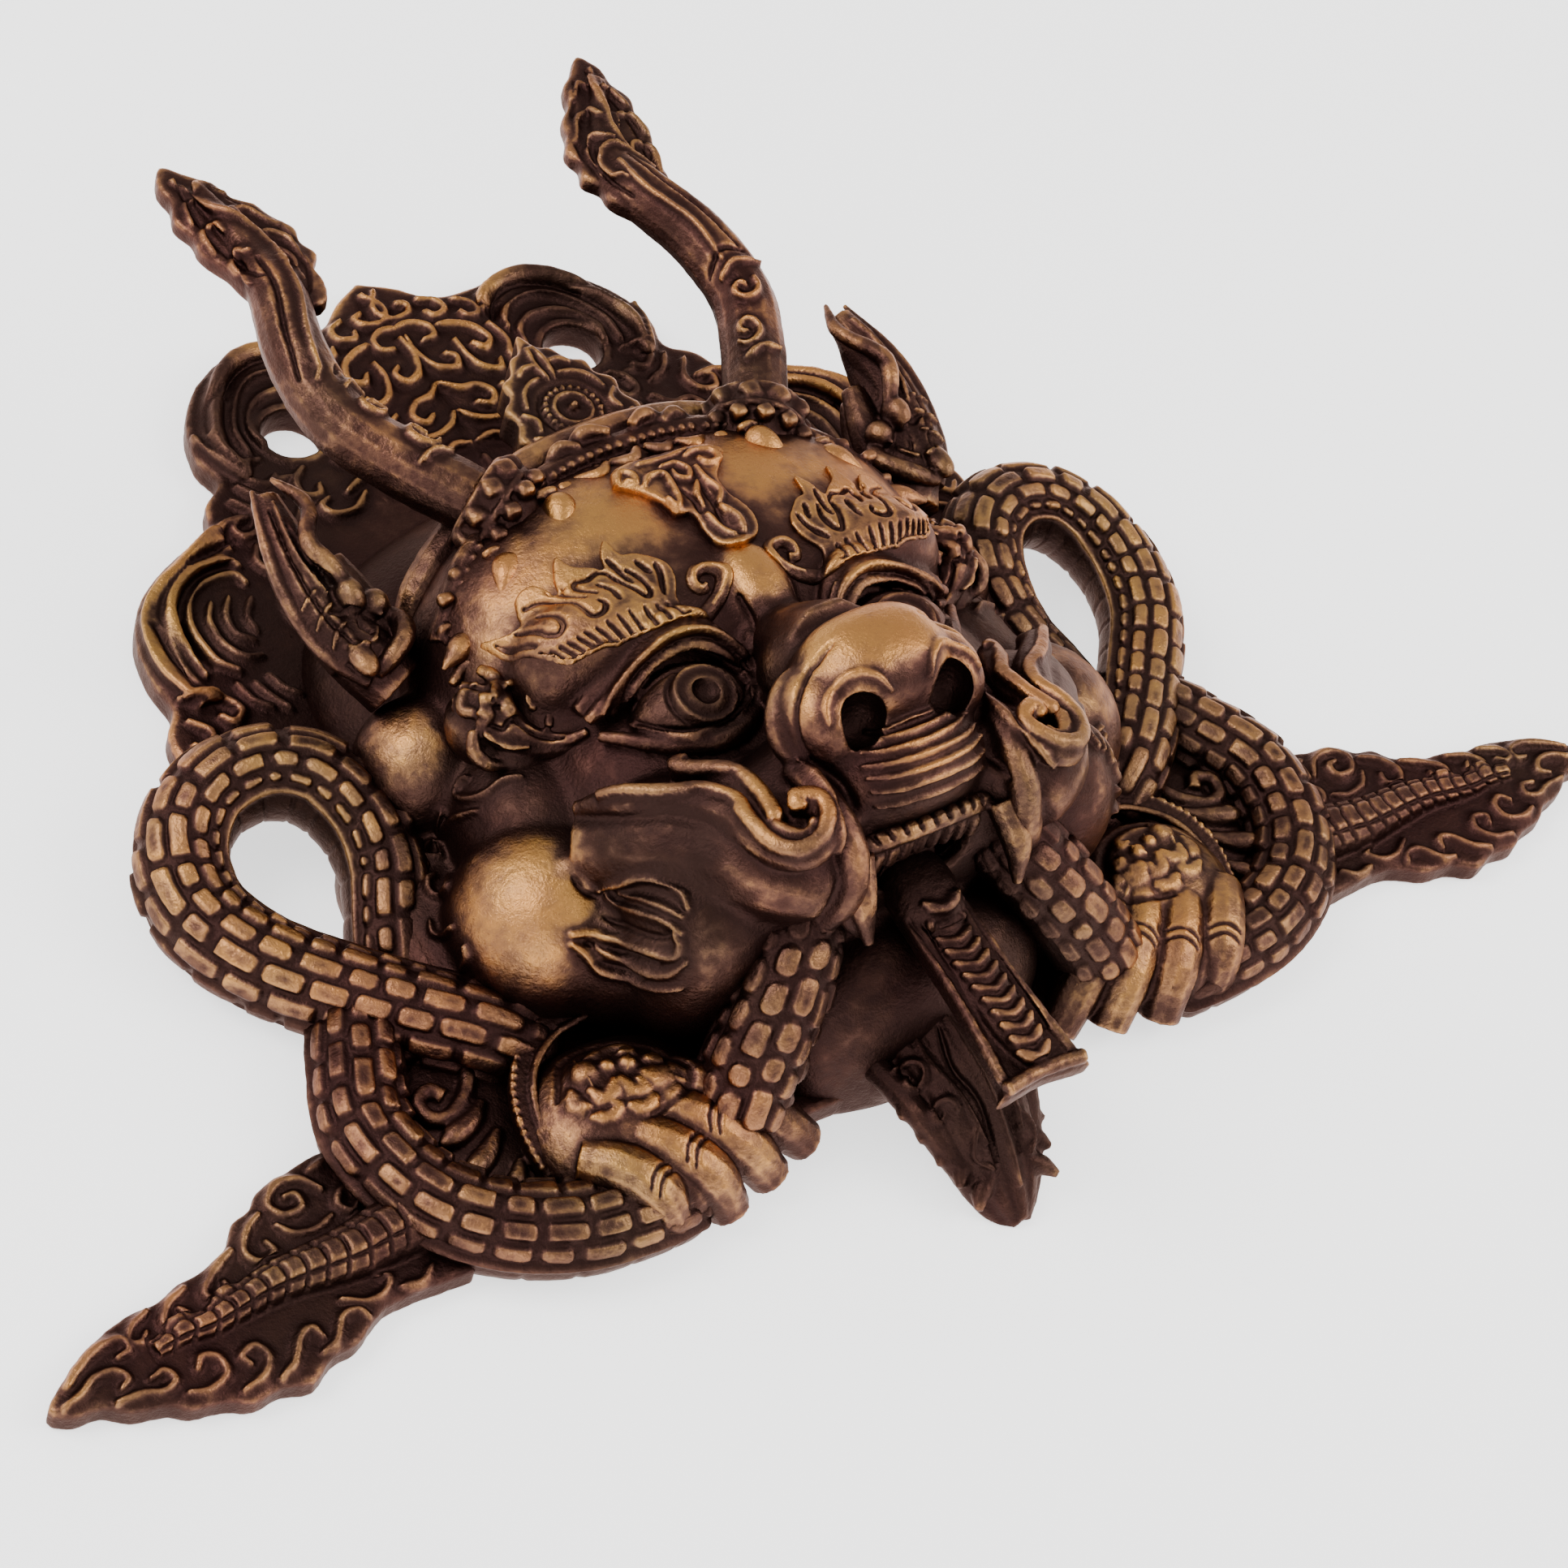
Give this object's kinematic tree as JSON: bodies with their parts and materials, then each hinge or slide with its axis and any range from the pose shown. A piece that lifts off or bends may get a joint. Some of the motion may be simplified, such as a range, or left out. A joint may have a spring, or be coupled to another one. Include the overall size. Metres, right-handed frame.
{
  "type": "horned guardian mask",
  "caption": "Cast bronze guardian mask with horns, serpents, bulging eyes and a long tongue, lying on its flat open back.",
  "frame": {"origin": "middle of the underside of the whole mask, horns included, at the plane of its flat back", "axes": "+X across the mask from tail to tail, to the right of someone facing it; +Y towards the crown and horn tips; +Z out of the face"},
  "size_m": [0.4596, 0.3262, 0.1041],
  "materials": {
    "cast_bronze": "cast bronze, dark brown patina in the hollows, rubbed golden on the high points",
    "horn_bronze": "cast bronze, brown patina with rubbed edges"
  },
  "bodies": {
    "root": {"mask_body": "cast_bronze", "horn_left": "horn_bronze", "horn_right": "horn_bronze"}
  },
  "joints": []
}
